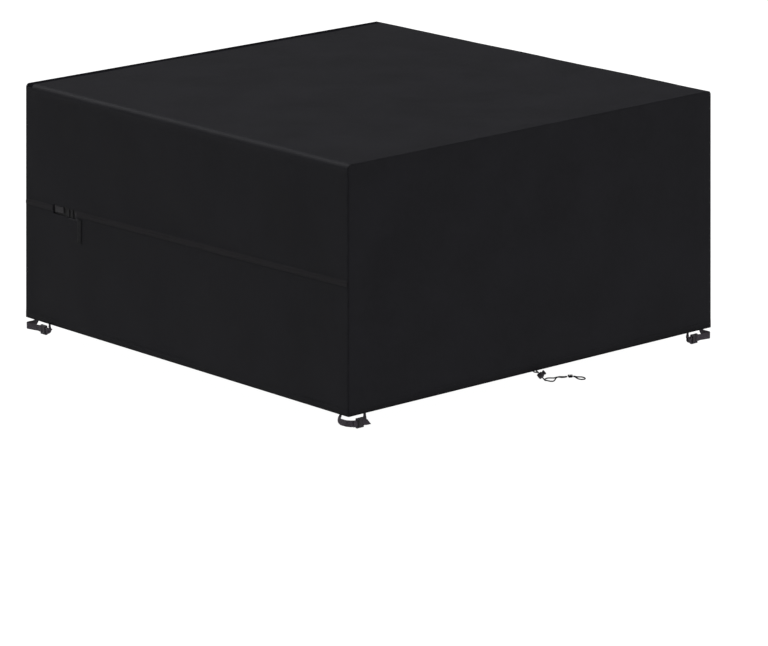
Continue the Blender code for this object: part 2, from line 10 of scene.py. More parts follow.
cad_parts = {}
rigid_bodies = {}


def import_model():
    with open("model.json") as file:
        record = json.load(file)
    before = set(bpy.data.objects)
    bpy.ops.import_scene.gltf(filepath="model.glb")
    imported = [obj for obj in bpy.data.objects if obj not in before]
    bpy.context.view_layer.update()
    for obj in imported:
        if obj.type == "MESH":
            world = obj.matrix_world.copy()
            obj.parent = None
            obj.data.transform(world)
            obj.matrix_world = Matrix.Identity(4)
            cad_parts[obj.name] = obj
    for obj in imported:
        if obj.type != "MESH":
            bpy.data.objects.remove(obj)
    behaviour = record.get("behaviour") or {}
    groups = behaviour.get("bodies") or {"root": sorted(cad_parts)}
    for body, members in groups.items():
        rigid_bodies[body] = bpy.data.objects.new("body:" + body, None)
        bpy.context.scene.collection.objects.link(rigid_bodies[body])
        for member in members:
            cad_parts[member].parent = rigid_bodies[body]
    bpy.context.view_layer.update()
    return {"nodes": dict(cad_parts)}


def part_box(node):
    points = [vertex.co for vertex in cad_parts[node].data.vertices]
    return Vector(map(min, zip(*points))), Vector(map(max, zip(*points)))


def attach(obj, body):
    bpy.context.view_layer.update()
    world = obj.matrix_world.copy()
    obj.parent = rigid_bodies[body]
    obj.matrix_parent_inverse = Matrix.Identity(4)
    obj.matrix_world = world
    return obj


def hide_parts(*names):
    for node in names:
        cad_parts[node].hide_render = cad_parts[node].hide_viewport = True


for item in list(bpy.data.objects):
    bpy.data.objects.remove(item, do_unlink=True)
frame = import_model()
NODES = frame["nodes"]

# ---- dimensions the part has, in metres ----
SHEET = 0.0012
GAP = 0.0003
ROLL = 0.012
SOFT_ROLL = 0.022                 # the roll between the top and the left wall
TOP_Z = 0.0015
HEM_Z = TOP_Z - 0.75
TOP_CORNERS = {
    "front_left": (-0.7470, -0.7540, -0.0020),
    "front_right": (0.7475, -0.7570, 0.0020),
    "rear_right": (0.7405, 0.7590, -0.0005),
    "rear_left": (-0.7425, 0.7530, 0.0005),
}
HEM_CORNERS = {
    "front_left": (-0.7570, -0.7635, 0.0015),
    "front_right": (0.7570, -0.7675, -0.0020),
    "rear_right": (0.7520, 0.7680, 0.0000),
    "rear_left": (-0.7535, 0.7640, 0.0000),
}
SEAM_DROP = (0.3525, 0.3760)      # front end and rear end of the lap's middle, from the top
LAP = 0.015
HEM_BAND = 0.024
HEM_STITCH = HEM_BAND - 0.003     # the hem's row of stitches above its edge
SEAM_WIDTH = 0.0050               # cloth shaded by a seam, on each side of it
REAR_SEAM = 0.25                  # the rear seam's shade fades this much slower over the top
FAINT = 0.0041                    # added to the distance from a seam that shades less
CORD_DIAMETER = 0.004
FLOOR_Z = HEM_Z - 0.0655
ROLL_COLUMN = 41                  # where the roll above the left wall starts in a line
TOP_COLUMN = ROLL_COLUMN + 5      # from here a line is seen as part of the top
ROLL_STEPS = 12
LAP_COLUMNS = 10
LOWER_ROWS = 34
LOWER_HEIGHT = 0.367
UP = Vector((0, 0, 1))

# ---- camera: left of the front, a little above ----
camera_data = bpy.data.cameras.new("camera")
camera_data.lens = 209.1
camera_data.sensor_width = 36.0
camera_data.clip_start = 0.1
camera_data.clip_end = 200.0
camera = bpy.data.objects.new("camera", camera_data)
bpy.context.scene.collection.objects.link(camera)
camera.location = (-9.037, -10.036, 2.8775)
camera.rotation_euler = (math.radians(74.954), 0, math.radians(-42.238))
bpy.context.scene.camera = camera


# ---- material helpers ----
class Nodes:
    """A small helper for a material's node tree."""

    def __init__(self, name, colour, roughness, specular=0.3):
        self.material = bpy.data.materials.new(name)
        self.material.use_nodes = True
        self.tree = self.material.node_tree
        self.shader = self.tree.nodes["Principled BSDF"]
        self.shader.inputs["Base Color"].default_value = (*colour, 1)
        self.shader.inputs["Roughness"].default_value = roughness
        self.shader.inputs["Specular IOR Level"].default_value = specular
        self.coordinates = self.tree.nodes.new("ShaderNodeTexCoord")

    def link(self, source, target):
        self.tree.links.new(source, target)

    def noise(self, where, scale, detail=2.0, rough=0.5):
        made = self.tree.nodes.new("ShaderNodeTexNoise")
        made.inputs["Scale"].default_value = scale
        made.inputs["Detail"].default_value = detail
        made.inputs["Roughness"].default_value = rough
        self.link(self.coordinates.outputs[where], made.inputs["Vector"])
        return made.outputs["Fac"]

    def split(self, where):
        made = self.tree.nodes.new("ShaderNodeSeparateXYZ")
        self.link(self.coordinates.outputs[where], made.inputs[0])
        return made.outputs

    def maths(self, operation, *values):
        made = self.tree.nodes.new("ShaderNodeMath")
        made.operation = operation
        for socket, value in zip(made.inputs, values):
            if isinstance(value, (int, float)):
                socket.default_value = value
            else:
                self.link(value, socket)
        return made.outputs[0]

    def wave(self, value, per_metre, shift=0.0):
        turned = self.maths("MULTIPLY_ADD", value, 2 * math.pi * per_metre, shift)
        return self.maths("SINE", turned)

    def painted(self, name):
        """A value stored on the mesh's points; 0 where the mesh has none."""
        made = self.tree.nodes.new("ShaderNodeAttribute")
        made.attribute_name = name
        return made.outputs["Fac"]

    def mix(self, share, base, colour):
        """The base colour turned to another by a share; sockets 6 and 7 hold the colours."""
        made = self.tree.nodes.new("ShaderNodeMix")
        made.data_type = "RGBA"
        made.inputs[7].default_value = (*colour, 1)
        self.link(share, made.inputs[0])
        self.link(base, made.inputs[6])
        return made.outputs[2]

    def ramp(self, value, dark, light, low=0.35, high=0.65):
        made = self.tree.nodes.new("ShaderNodeValToRGB")
        made.color_ramp.elements[0].position = low
        made.color_ramp.elements[1].position = high
        made.color_ramp.elements[0].color = (*dark, 1)
        made.color_ramp.elements[1].color = (*light, 1)
        self.link(value, made.inputs[0])
        return made.outputs[0]

    def bump(self, heights):
        """Bumps from (height, distance, strength), one on another."""
        last = None
        for height, distance, strength in heights:
            made = self.tree.nodes.new("ShaderNodeBump")
            made.inputs["Distance"].default_value = distance
            made.inputs["Strength"].default_value = strength
            self.link(height, made.inputs["Height"])
            if last is not None:
                self.link(last, made.inputs["Normal"])
            last = made.outputs["Normal"]
        self.link(last, self.shader.inputs["Normal"])


def scaled(colour, share):
    return tuple(part * share for part in colour)


def cloth_material(name, colour, roughness=0.62, specular=0.22):
    """Coated Oxford cloth: a plain weave, soft mottling and faint crinkles, with painted shade
    along seams and a painted highlight along a roll, where the mesh holds them.
    """
    made = Nodes(name, colour, roughness, specular)
    u, v, _ = made.split("UV")
    weave = made.maths("MULTIPLY", made.wave(u, 900), made.wave(v, 900))
    slub = made.noise("UV", 240, 3)
    mottle = made.noise("Object", 5.0, 3, 0.55)
    fine = made.noise("Object", 60, 2)
    shade = made.maths("MULTIPLY_ADD", fine, 0.25, made.maths("MULTIPLY", mottle, 0.75))
    tone = made.ramp(shade, scaled(colour, 0.88), scaled(colour, 1.12), 0.38, 0.62)
    # painted shade: the cloth darkens close to its seams, along its rear edges and at the bottom of
    # the walls
    tone = made.mix(made.maths("POWER", made.painted("seam"), 0.6), tone, scaled(colour, 0.30))
    # painted highlight: the cloth is lightened along the roll between the top and the left wall
    tone = made.mix(made.painted("roll_highlight"), tone, scaled(colour, 1.25))
    made.link(tone, made.shader.inputs["Base Color"])
    made.link(made.maths("MULTIPLY_ADD", mottle, 0.16, roughness - 0.08),
              made.shader.inputs["Roughness"])
    crinkle = made.noise("Object", 14, 4, 0.6)
    made.bump([(crinkle, 0.0012, 0.5), (slub, 0.00015, 0.5), (weave, 0.00012, 0.5)])
    return made.material


def webbing_material(name, colour, roughness=0.6, specular=0.12):
    """Woven webbing: ribs across it, broken by a twill, and bound edges."""
    made = Nodes(name, colour, roughness, specular)
    u, v, _ = made.split("UV")
    ribs = made.wave(made.maths("MULTIPLY_ADD", made.maths("PINGPONG", u, 0.002), 0.6, v), 800)
    cross = made.wave(u, 1400)
    height = made.maths("MULTIPLY_ADD", cross, 0.35, ribs)
    fuzz = made.noise("Object", 300, 3)
    made.link(made.ramp(made.maths("MULTIPLY_ADD", height, 0.18, fuzz), scaled(colour, 0.7),
                        scaled(colour, 1.3)), made.shader.inputs["Base Color"])
    made.bump([(fuzz, 0.0002, 0.4), (height, 0.00025, 0.8)])
    return made.material


def cord_material(name, colour):
    """Braided cord: two sets of strands that cross round it."""
    made = Nodes(name, colour, 0.8, 0.04)
    u, v, _ = made.split("UV")
    one = made.maths("SINE", made.maths(
        "MULTIPLY_ADD", v, 2 * math.pi * 420, made.maths("MULTIPLY", u, 2 * math.pi * 6)))
    other = made.maths("SINE", made.maths(
        "MULTIPLY_ADD", v, 2 * math.pi * 420, made.maths("MULTIPLY", u, -2 * math.pi * 6)))
    braid = made.maths("MAXIMUM", one, other)
    made.link(made.ramp(made.maths("MULTIPLY_ADD", braid, 0.25, 0.45), scaled(colour, 0.6),
                        scaled(colour, 1.35)), made.shader.inputs["Base Color"])
    made.bump([(braid, 0.0003, 0.9)])
    return made.material


def plastic_material(name, colour, roughness=0.48):
    """Moulded acetal: satin, with a faint grain and handling marks."""
    made = Nodes(name, colour, roughness, 0.22)
    grain = made.noise("Object", 2200, 2)
    marks = made.noise("Object", 180, 4, 0.6)
    made.link(made.maths("MULTIPLY_ADD", marks, 0.24, roughness - 0.12),
              made.shader.inputs["Roughness"])
    made.link(made.ramp(marks, scaled(colour, 0.85), scaled(colour, 1.2)),
              made.shader.inputs["Base Color"])
    made.bump([(grain, 0.00004, 0.6), (marks, 0.0001, 0.3)])
    return made.material


def mesh_material(name, colour):
    """Knitted vent mesh: rows of holes between its threads, the holes painted dark as shade."""
    made = Nodes(name, colour, 0.7, 0.25)
    u, v, _ = made.split("UV")
    holes = made.maths("MULTIPLY", made.wave(u, 450), made.wave(v, 450))
    # painted shade in the holes, lighter threads between them
    made.link(made.ramp(made.maths("ABSOLUTE", holes), scaled(colour, 1.6),
                        scaled(colour, 0.15), 0.15, 0.5), made.shader.inputs["Base Color"])
    made.bump([(holes, 0.0004, 0.9)])
    return made.material


CLOTH = cloth_material("cloth", (0.0084, 0.0083, 0.0101), 0.6, 0.055)
# a lighter copy of the cloth for the lap: painted light on the proud band
LIT_LAP_CLOTH = cloth_material("lit_lap_cloth", (0.0104, 0.0096, 0.0112), 0.6, 0.07)
# the cloth without sheen, for the rear edges; its colour is raised a little, painted sheen in place
# of the sheen it lacks
EDGE_CLOTH = cloth_material("edge_cloth", (0.0088, 0.0087, 0.0105), 0.9, 0.0)
MESH = mesh_material("vent_mesh", (0.013, 0.013, 0.014))
WEBBING = webbing_material("webbing", (0.040, 0.034, 0.042))
STAY = webbing_material("stay", (0.014, 0.014, 0.015), 0.7, 0.1)
PATCH = cloth_material("patch", (0.023, 0.022, 0.024), 0.6, 0.1)
TAB = webbing_material("tab", (0.0094, 0.0093, 0.0105), 0.7, 0.07)
PLASTIC = plastic_material("plastic", (0.015, 0.0125, 0.016))
CORD = cord_material("cord", (0.008, 0.008, 0.010))
THREAD = cloth_material("thread", (0.009, 0.009, 0.010), 0.6, 0.1)


# ---- geometry helpers ----
def add_mesh(name, points, faces, uvs, look, smooth=True):
    """A mesh object; uvs holds one (u, v) in metres for each point."""
    mesh = bpy.data.meshes.new(name)
    mesh.from_pydata([tuple(point) for point in points], [], faces)
    layer = mesh.uv_layers.new(name="along")
    for loop in mesh.loops:
        layer.data[loop.index].uv = uvs[loop.vertex_index]
    mesh.polygons.foreach_set("use_smooth", [smooth] * len(mesh.polygons))
    mesh.materials.append(look)
    mesh.update()
    made = bpy.data.objects.new(name, mesh)
    bpy.context.scene.collection.objects.link(made)
    return made


def sheet(name, columns, look, thickness=SHEET, seamed=None):
    """A cloth sheet; columns run to the right and up as seen from outside.

    seamed gives each point's distance from a seam; the cloth close to it gets painted shade.
    """
    high = len(columns[0])
    points = [point for column in columns for point in column]
    middle = high // 2
    along = [0.0]
    for i in range(1, len(columns)):
        along.append(along[-1] + (columns[i][middle] - columns[i - 1][middle]).length)
    uvs = []
    for i, column in enumerate(columns):
        reach = 0.0
        for j, point in enumerate(column):
            if j:
                reach += (point - column[j - 1]).length
            uvs.append((along[i], reach))
    faces = [(i * high + j, (i + 1) * high + j, (i + 1) * high + j + 1, i * high + j + 1)
             for i in range(len(columns) - 1) for j in range(high - 1)]
    made = add_mesh(name, points, faces, uvs, look)
    if seamed:
        # painted shade, strongest at the seam and gone at SEAM_WIDTH from it
        near = made.data.attributes.new("seam", "FLOAT", "POINT")
        for place, value in zip(near.data, seamed):
            place.value = max(1 - value / SEAM_WIDTH, 0.0)
    body = made.modifiers.new("thickness", "SOLIDIFY")
    body.thickness = thickness
    body.offset = -1.0
    return made


def smooth_path(points, parts):
    """Points on a Catmull-Rom curve through the given vectors."""
    ends = [points[0] * 2 - points[1]] + points + [points[-1] * 2 - points[-2]]
    made = []
    for i in range(1, len(ends) - 2):
        a, b, c, d = ends[i - 1:i + 3]
        for k in range(parts):
            t = k / parts
            made.append(0.5 * (2 * b + (c - a) * t + (2 * a - 5 * b + 4 * c - d) * t * t
                               + (3 * b - a - 3 * c + d) * t ** 3))
    made.append(points[-1].copy())
    return made


def tube(name, path, radii, look, sides=14):
    """A round tube along a path, with domed ends; radii is one number or one for each point."""
    if isinstance(radii, float):
        radii = [radii] * len(path)
    tangents = [(path[min(i + 1, len(path) - 1)] - path[max(i - 1, 0)]).normalized()
                for i in range(len(path))]
    across = tangents[0].orthogonal().normalized()
    points, uvs, reach = [], [], 0.0
    for i, (point, tangent) in enumerate(zip(path, tangents)):
        across = (across - tangent * across.dot(tangent)).normalized()
        other = tangent.cross(across)
        if i:
            reach += (point - path[i - 1]).length
        for k in range(sides):
            angle = 2 * math.pi * k / sides
            points.append(point + (across * math.cos(angle) + other * math.sin(angle)) * radii[i])
            uvs.append((k / sides, reach))
    faces = [(i * sides + k, i * sides + (k + 1) % sides,
              (i + 1) * sides + (k + 1) % sides, (i + 1) * sides + k)
             for i in range(len(path) - 1) for k in range(sides)]
    for ring, outward in ((0, -1), (len(path) - 1, 1)):
        tip = len(points)
        points.append(path[ring] + tangents[ring] * outward * radii[ring] * 0.4)
        uvs.append((0.5, reach if ring else 0.0))
        for k in range(sides):
            pair = (ring * sides + k, ring * sides + (k + 1) % sides)
            faces.append((*pair, tip) if outward > 0 else (pair[1], pair[0], tip))
    return add_mesh(name, points, faces, uvs, look)


def stitches(name, lines, pitch=0.0034, size=(0.0024, 0.00075, 0.0005)):
    """Rows of stitches; each line is points with the outward direction there."""
    points, faces, uvs = [], [], []
    long, wide, high = size
    for line in lines:
        reach, wanted = 0.0, pitch / 2
        for (start, start_out), (end, end_out) in zip(line, line[1:]):
            step = (end - start).length
            if step < 1e-9:
                continue
            along = (end - start) / step
            while wanted < reach + step:
                share = (wanted - reach) / step
                at = start.lerp(end, share)
                out = start_out.lerp(end_out, share).normalized()
                side = along.cross(out).normalized()
                first = len(points)
                for place, lift, half in ((-0.5, -0.15, 0.55), (-0.25, 0.85, 1.0),
                                          (0.25, 0.85, 1.0), (0.5, -0.15, 0.55)):
                    middle = at + along * long * place
                    points.append(middle - side * wide * half / 2 - out * high * 0.3)
                    points.append(middle + out * high * lift)
                    points.append(middle + side * wide * half / 2 - out * high * 0.3)
                    uvs += [(0, 0), (0.0005, 0), (0.001, 0)]
                faces.append((first, first + 1, first + 2))
                for k in range(3):
                    a, b = first + 3 * k, first + 3 * k + 3
                    faces += [(a, b, b + 1, a + 1), (a + 1, b + 1, b + 2, a + 2),
                              (a + 2, b + 2, b, a)]
                faces.append((first + 11, first + 10, first + 9))
                wanted += pitch
            reach += step
    return add_mesh(name, points, faces, uvs, THREAD)


def part_of(piece, nodes, body="cover"):
    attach(piece, body)
    if nodes:
        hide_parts(*nodes)
    return piece


# ---- the cloth box ----
def corner(table, name):
    x, y, rise = table[name]
    return Vector((x, y, (TOP_Z if table is TOP_CORNERS else HEM_Z) + rise))


def spread(length, count, ease=(0.0, 0.0012, 0.003, 0.006)):
    """Distances from 0 to length, close together near both ends."""
    inner = length - 2 * ease[-1]
    middle = [ease[-1] + inner * k / count for k in range(1, count)]
    return list(ease) + middle + [length - gap for gap in reversed(ease)]


def billow(across, along, depth, folds, lean):
    hold = math.sin(math.pi * min(max(across, 0), 1)) ** 2 * math.sin(math.pi * along) ** 2
    return depth * hold * math.sin(2 * math.pi * (folds * across + lean * along))


def slack(u, v, seed, edge, near):
    """Small unevenness of the cloth: soft waves, and pucker close to its seams."""
    soft = noise.noise(Vector((u * 4.5, v * 4.5, seed))) * 0.0022
    soft += noise.noise(Vector((u * 10, v * 10, seed + 7))) * 0.0008
    pull = math.exp(-edge / 0.030) * (1 - math.exp(-edge / 0.004))
    pucker = noise.noise(Vector((near * 26, edge * 6, seed + 3))) * 0.0014 * pull
    return soft * min(edge / 0.05, 1.0) + pucker


def dip(edge, depth=0.0010, width=0.0042):
    """How far a seam pulls the cloth in at a distance from it."""
    return depth * max(1 - edge / width, 0) ** 2


WIDTH_Y = TOP_CORNERS["rear_left"][1] - TOP_CORNERS["front_left"][1]
MARGIN = (0.0015 + GAP) / WIDTH_Y


def share_at(y):
    """The share of the cover's depth at a distance from the panel's front end."""
    return MARGIN + y / WIDTH_Y


def hem_lift(above):
    """How far the doubled cloth of the hem stands out, at a height above its edge."""
    return 0.0006 if above < HEM_BAND else 0.0


def rolled(before, point, after, radius, steps):
    """Points and outward directions of the arc that rounds off a corner."""
    back = (before - point).normalized()
    ahead = (after - point).normalized()
    half = back.angle(ahead) / 2
    centre = point + (back + ahead).normalized() * radius / math.sin(half)
    start = (point + back * radius / math.tan(half) - centre).normalized()
    end = (point + ahead * radius / math.tan(half) - centre).normalized()
    return [(centre + start.slerp(end, k / steps) * radius, start.slerp(end, k / steps))
            for k in range(steps + 1)]


def ends_at(table, share):
    left = corner(table, "front_left").lerp(corner(table, "rear_left"), share)
    right = corner(table, "front_right").lerp(corner(table, "rear_right"), share)
    return left, right


def seam_drop(share):
    return SEAM_DROP[0] + (SEAM_DROP[1] - SEAM_DROP[0]) * share


def main_line(share, y_edge):
    """The main panel's outer line at one distance from the front: points, left to right."""
    left, right = ends_at(TOP_CORNERS, share)
    left_hem, right_hem = ends_at(HEM_CORNERS, share)
    seam = seam_drop(share)
    pinch = dip(y_edge)
    line = []

    def put(point, outward, u, extra=0.0, seamed=1.0):
        wave = slack(u, share * WIDTH_Y, 2.0, y_edge, u)
        line.append(point + outward * (extra + wave * seamed - pinch))

    # the lap, proud of the lower panel, then flush again above it
    for drop, lift in ((LAP / 2, 0.0011), (LAP / 2 - 0.0006, 0.0020), (LAP / 2 - 0.0020, 0.0024),
                       (LAP / 2 - 0.0032, 0.0019), (LAP / 2 - 0.0050, 0.0024), (0.0, 0.0026),
                       (0.0050 - LAP / 2, 0.0024), (0.0032 - LAP / 2, 0.0019),
                       (0.0020 - LAP / 2, 0.0022), (-LAP / 2, 0.0014),
                       (-LAP / 2 - 0.0025, 0.0005), (-LAP / 2 - 0.0060, 0.0)):
        point = left + (left_hem - left) * ((seam + drop) / (left.z - left_hem.z))
        put(point, Vector((-1, 0, 0)), -seam, lift, 0.4)
    flush = seam - LAP / 2 - 0.0060
    wall = 30
    for k in range(1, wall):
        drop = flush + (0.026 - flush) * k / wall
        point = left + (left_hem - left) * (drop / (left.z - left_hem.z))
        swell = billow(0.5 * drop / flush, share, 0.0025, 1.0, 1.5)
        put(point, Vector((-1, 0, 0)), -drop, -swell, min(k / 3, 1))
    assert len(line) == ROLL_COLUMN
    sway = noise.noise(Vector((share * 9, 1.5, 4))) + 0.5 * noise.noise(
        Vector((share * 23, 3.5, 4)))
    arc = rolled(left_hem, left, right, SOFT_ROLL, ROLL_STEPS)
    for k, (point, outward) in enumerate(arc):
        fuller = math.sin(math.pi * k / ROLL_STEPS) * (0.0036 + 0.0013 * sway)
        put(point, outward, 0.0, fuller, 0.6)
    top = 128
    for k in range(3, top - 1):
        point = left.lerp(right, k / top)
        put(point, UP, k / top * 1.49, billow(k / top, share, 0.0020, 1.5, -1.0))
    for point, outward in rolled(left, right, right_hem, ROLL, 9):
        put(point, outward, 1.50, 0.0, 0.6)
    wall = 66
    for k in range(2, wall + 1):
        point = right.lerp(right_hem, k / wall)
        depth = 0.75 * (1 - k / wall)
        put(point, Vector((1, 0, 0)), 1.5 + 0.75 * k / wall,
            hem_lift(depth) + billow(k / wall, share, 0.0030, 0.5, 1.5), min(depth / 0.04, 1))
    return line


def hem_shade(along, above):
    """The seam distance that shades the bottom of a wall, more in some places than others."""
    return above * (0.50 + 0.30 * noise.noise(Vector((along * 9, 0, 17))))


def rear_look(panel, faces):
    """Gives the faces next to the rear seam a cloth without sheen."""
    panel.data.materials.append(EDGE_CLOTH)
    for face in faces:
        panel.data.polygons[face].material_index = len(panel.data.materials) - 1


lengths = spread(WIDTH_Y * (1 - 2 * MARGIN), 130)
lines = [main_line(share_at(y), min(y, lengths[-1] - y)) for y in lengths]
main_columns = [[line[i] for line in lines] for i in range(len(lines[0]))]
# distances for the painted shade along the front and rear seams; over the top the rear seam's
# painted shade reaches further
from_seam = [min(y + FAINT, (lengths[-1] - y) * (1 if i < TOP_COLUMN else REAR_SEAM))
             for i in range(len(main_columns)) for y in lengths]
main_panel = sheet("main_cloth", main_columns, CLOTH, seamed=from_seam)
# the lap's faces take the lighter cloth, a painted highlight on the band
main_panel.data.materials.append(LIT_LAP_CLOTH)
for face in main_panel.data.polygons[:LAP_COLUMNS * (len(lengths) - 1)]:
    face.material_index = 1
high = len(lengths) - 1
rear_look(main_panel, [i * high + j for i in range(len(main_columns) - 1)
                       for j in range(high - (2 if i + 1 < TOP_COLUMN else 5), high)])
# painted highlight along the roll above the left wall: strongest mid-arc, patchy, fading towards
# the rear
roll_highlight = main_panel.data.attributes.new("roll_highlight", "FLOAT", "POINT")
for i in range(ROLL_STEPS + 1):
    for j, y in enumerate(lengths):
        share = share_at(y)
        patchy = 0.85 + 0.5 * noise.noise(Vector((share * 13, i * 0.15, 8)))
        value = math.sin(math.pi * i / ROLL_STEPS) ** 0.5 * patchy * min((1 - share) / 0.08, 1)
        roll_highlight.data[(ROLL_COLUMN + i) * len(lengths) + j].value = max(value, 0)
part_of(main_panel, ["main_panel"])

columns = []
for y in reversed(lengths):
    share = share_at(y)
    y_edge = min(y, lengths[-1] - y)
    top, hem = ends_at(TOP_CORNERS, share)[0], ends_at(HEM_CORNERS, share)[0]
    start = seam_drop(share) - LAP / 2 + 0.0015
    column = []
    for j in range(LOWER_ROWS + 1):
        high = j / LOWER_ROWS
        point = hem.lerp(top + (hem - top) * (start / (top.z - hem.z)), high)
        above = (0.75 - start) * high
        hold = min(above / 0.04, 1, (LOWER_ROWS - j) / 3)
        point.x += billow(high, share, 0.0025, 0.5, 2.0) + dip(y_edge) - hem_lift(above)
        point.x -= slack(y, above, 11.0, y_edge, above) * max(hold, 0)
        column.append(point)
    columns.append(column)
# distances for the painted shade along the front and rear seams and at the bottom of the wall
from_seam = [min(y + FAINT, lengths[-1] - y, hem_shade(y, LOWER_HEIGHT * j / LOWER_ROWS))
             for y in reversed(lengths) for j in range(LOWER_ROWS + 1)]
lower_panel = part_of(sheet("lower_left_cloth", columns, CLOTH, seamed=from_seam),
                      ["lower_left_panel"])
rear_look(lower_panel, range(2 * LOWER_ROWS))


def side_columns(left_name, right_name, outward, folds, lean, seed):
    top_left, top_right = corner(TOP_CORNERS, left_name), corner(TOP_CORNERS, right_name)
    hem_left, hem_right = corner(HEM_CORNERS, left_name), corner(HEM_CORNERS, right_name)
    width = (top_right - top_left).length
    turns = [k / 8 * math.pi / 2 for k in range(9)]
    places = [(ROLL * (1 - math.cos(turn)), ROLL * (1 - math.sin(turn))) for turn in turns]
    count = 126
    inner = [(ROLL + (width - 2 * ROLL) * k / count, 0.0) for k in range(1, count)]
    places = places + inner + [(width - x, drop) for x, drop in reversed(places)]
    made, edges = [], []
    for x, drop in places:
        top, hem = top_left.lerp(top_right, x / width), hem_left.lerp(hem_right, x / width)
        high = top + (hem - top) * (drop / (top.z - hem.z))
        column = []
        for below in reversed(spread(0.75 - drop, 64)):
            point = high.lerp(hem, below / (0.75 - drop))
            above = 0.75 - drop - below
            edge = min(x, width - x, below)
            wave = slack(x, below, seed, edge, x if below < min(x, width - x) else below)
            swell = billow(x / width, above / 0.75, 0.0025, folds, lean)
            point.y += outward * (swell + wave * min(above / 0.04, 1) + hem_lift(above)
                                  - dip(edge))
            column.append(point)
            # painted shade along the panel's seams and at its bottom; fainter on the front panel,
            # reaching further on the rear one
            seam = edge + FAINT if outward < 0 else edge * REAR_SEAM
            edges.append(min(seam, hem_shade(x, above)))
        made.append(column)
    return made, edges


front_columns, front_edges = side_columns("front_left", "front_right", -1, 1.5, 0.5, 21.0)
rear_columns, rear_edges = side_columns("rear_right", "rear_left", 1, 2.0, 0.5, 31.0)
front_panel = part_of(sheet("front_cloth", front_columns, CLOTH, seamed=front_edges),
                      ["front_panel"])
rear_panel = part_of(sheet("rear_cloth", rear_columns, CLOTH, seamed=rear_edges),
                     ["rear_panel"])


# ---- vent and tab on the left wall ----
def wall_x(y, z):
    share = (y - TOP_CORNERS["front_left"][1]) / WIDTH_Y
    top, hem = ends_at(TOP_CORNERS, share)[0].x, ends_at(HEM_CORNERS, share)[0].x
    return top + (hem - top) * (TOP_Z - z) / 0.75


def cut(panel, low, high):
    """Opens the vent's window through a panel."""
    body = bmesh.new()
    bmesh.ops.create_cube(body, size=1.0)
    low, high = Vector(low), Vector(high)
    bmesh.ops.scale(body, vec=high - low, verts=body.verts)
    bmesh.ops.translate(body, vec=(low + high) / 2, verts=body.verts)
    mesh = bpy.data.meshes.new("window")
    body.to_mesh(mesh)
    body.free()
    cutter = bpy.data.objects.new("window", mesh)
    bpy.context.scene.collection.objects.link(cutter)
    window = panel.modifiers.new("window", "BOOLEAN")
    window.operation = "DIFFERENCE"
    window.object = cutter
    bpy.context.view_layer.update()
    seen = panel.evaluated_get(bpy.context.evaluated_depsgraph_get())
    baked = bpy.data.meshes.new_from_object(seen)
    panel.modifiers.clear()
    panel.data = baked
    bpy.data.objects.remove(cutter)


mesh_low, mesh_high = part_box("vent_mesh")
window_low = Vector((-0.80, mesh_low.y + 0.008, mesh_low.z + 0.008))
window_high = Vector((-0.70, mesh_high.y - 0.008, mesh_high.z - 0.008))
cut(main_panel, window_low, window_high)
cut(lower_panel, window_low, window_high)


def flat_piece(name, node, look, thickness, bow=0.0, lift=0.0, cells=(10, 10)):
    """A small sheet in the place of a flat CAD piece, a little bowed."""
    low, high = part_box(node)
    made = []
    for i in range(cells[0] + 1):
        y = high.y + (low.y - high.y) * i / cells[0]
        column = []
        for j in range(cells[1] + 1):
            z = low.z + (high.z - low.z) * j / cells[1]
            swell = math.sin(math.pi * i / cells[0]) * math.sin(math.pi * j / cells[1])
            x = low.x + (wall_x(y, z) - wall_x(low.y, high.z)) - bow * swell - lift
            column.append(Vector((max(x, low.x - 0.001), y, z)))
        made.append(column)
    return part_of(sheet(name, made, look, thickness), [node])


vent_mesh = flat_piece("vent_mesh_cloth", "vent_mesh", MESH, 0.0008, -0.0008)
stays = [flat_piece(f"{node}_webbing", node, STAY, 0.0010, 0.0003)
         for node in ("vent_stay_1", "vent_stay_2")]
patch = flat_piece("vent_patch_cloth", "vent_patch", PATCH, 0.0010, 0.0006)


def on_lower_panel(y, z):
    """How far out the lower left panel's cloth lies at a place."""
    column = min(columns, key=lambda line: abs(line[0].y - y))
    return min(column, key=lambda point: abs(point.z - z)).x


tab_low, tab_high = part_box("seam_tab")
tab_columns = [[Vector((on_lower_panel(y, z) - 0.0010, y, z)) for z in (
    tab_low.z + (tab_high.z - tab_low.z) * j / 8 for j in range(9))]
    for y in (tab_high.y + (tab_low.y - tab_high.y) * i / 4 for i in range(5))]
tab = part_of(sheet("seam_tab_webbing", tab_columns, TAB, 0.0006), ["seam_tab"])


# ---- stitching ----
def wall_point(share, drop, proud):
    left, hem = ends_at(TOP_CORNERS, share)[0], ends_at(HEM_CORNERS, share)[0]
    point = left + (hem - left) * (drop / (left.z - hem.z))
    return point + Vector((-proud, 0, 0)), Vector((-1, 0, 0))


def along_left(offset, proud, low, high):
    return [wall_point(low + (high - low) * k / 60, seam_drop(low + (high - low) * k / 60) + offset,
                       proud) for k in range(61)]


def share_of(y):
    return (y - TOP_CORNERS["front_left"][1]) / WIDTH_Y


lap_rows = []
for offset in (LAP / 2 - 0.0032, 0.0032 - LAP / 2):
    lap_rows.append(along_left(offset, 0.0019, MARGIN * 3, share_of(window_low.y - 0.002)))
    lap_rows.append(along_left(offset, 0.0019, share_of(window_high.y + 0.002), 1 - MARGIN * 3))
lap_stitches = part_of(stitches("lap_stitches", lap_rows), [])


def hem_row(panel_columns, outward):
    """Stitch points along the top of a panel's hem, with their outward direction."""
    return [(column[0].lerp(column[-1], HEM_STITCH / (column[-1] - column[0]).length)
             + outward * 0.0003, outward) for column in panel_columns[2:-2]]


RIGHT = Vector((1, 0, 0))
hem_rows = [
    hem_row(front_columns, Vector((0, -1, 0))),
    hem_row(rear_columns, Vector((0, 1, 0))),
    hem_row(columns, -RIGHT),
    [(line[-1] + (line[-3] - line[-1]).normalized() * HEM_STITCH + RIGHT * 0.0004, RIGHT)
     for line in lines[2:-2]],
]
hem_stitches = part_of(stitches("hem_stitches", hem_rows), [])


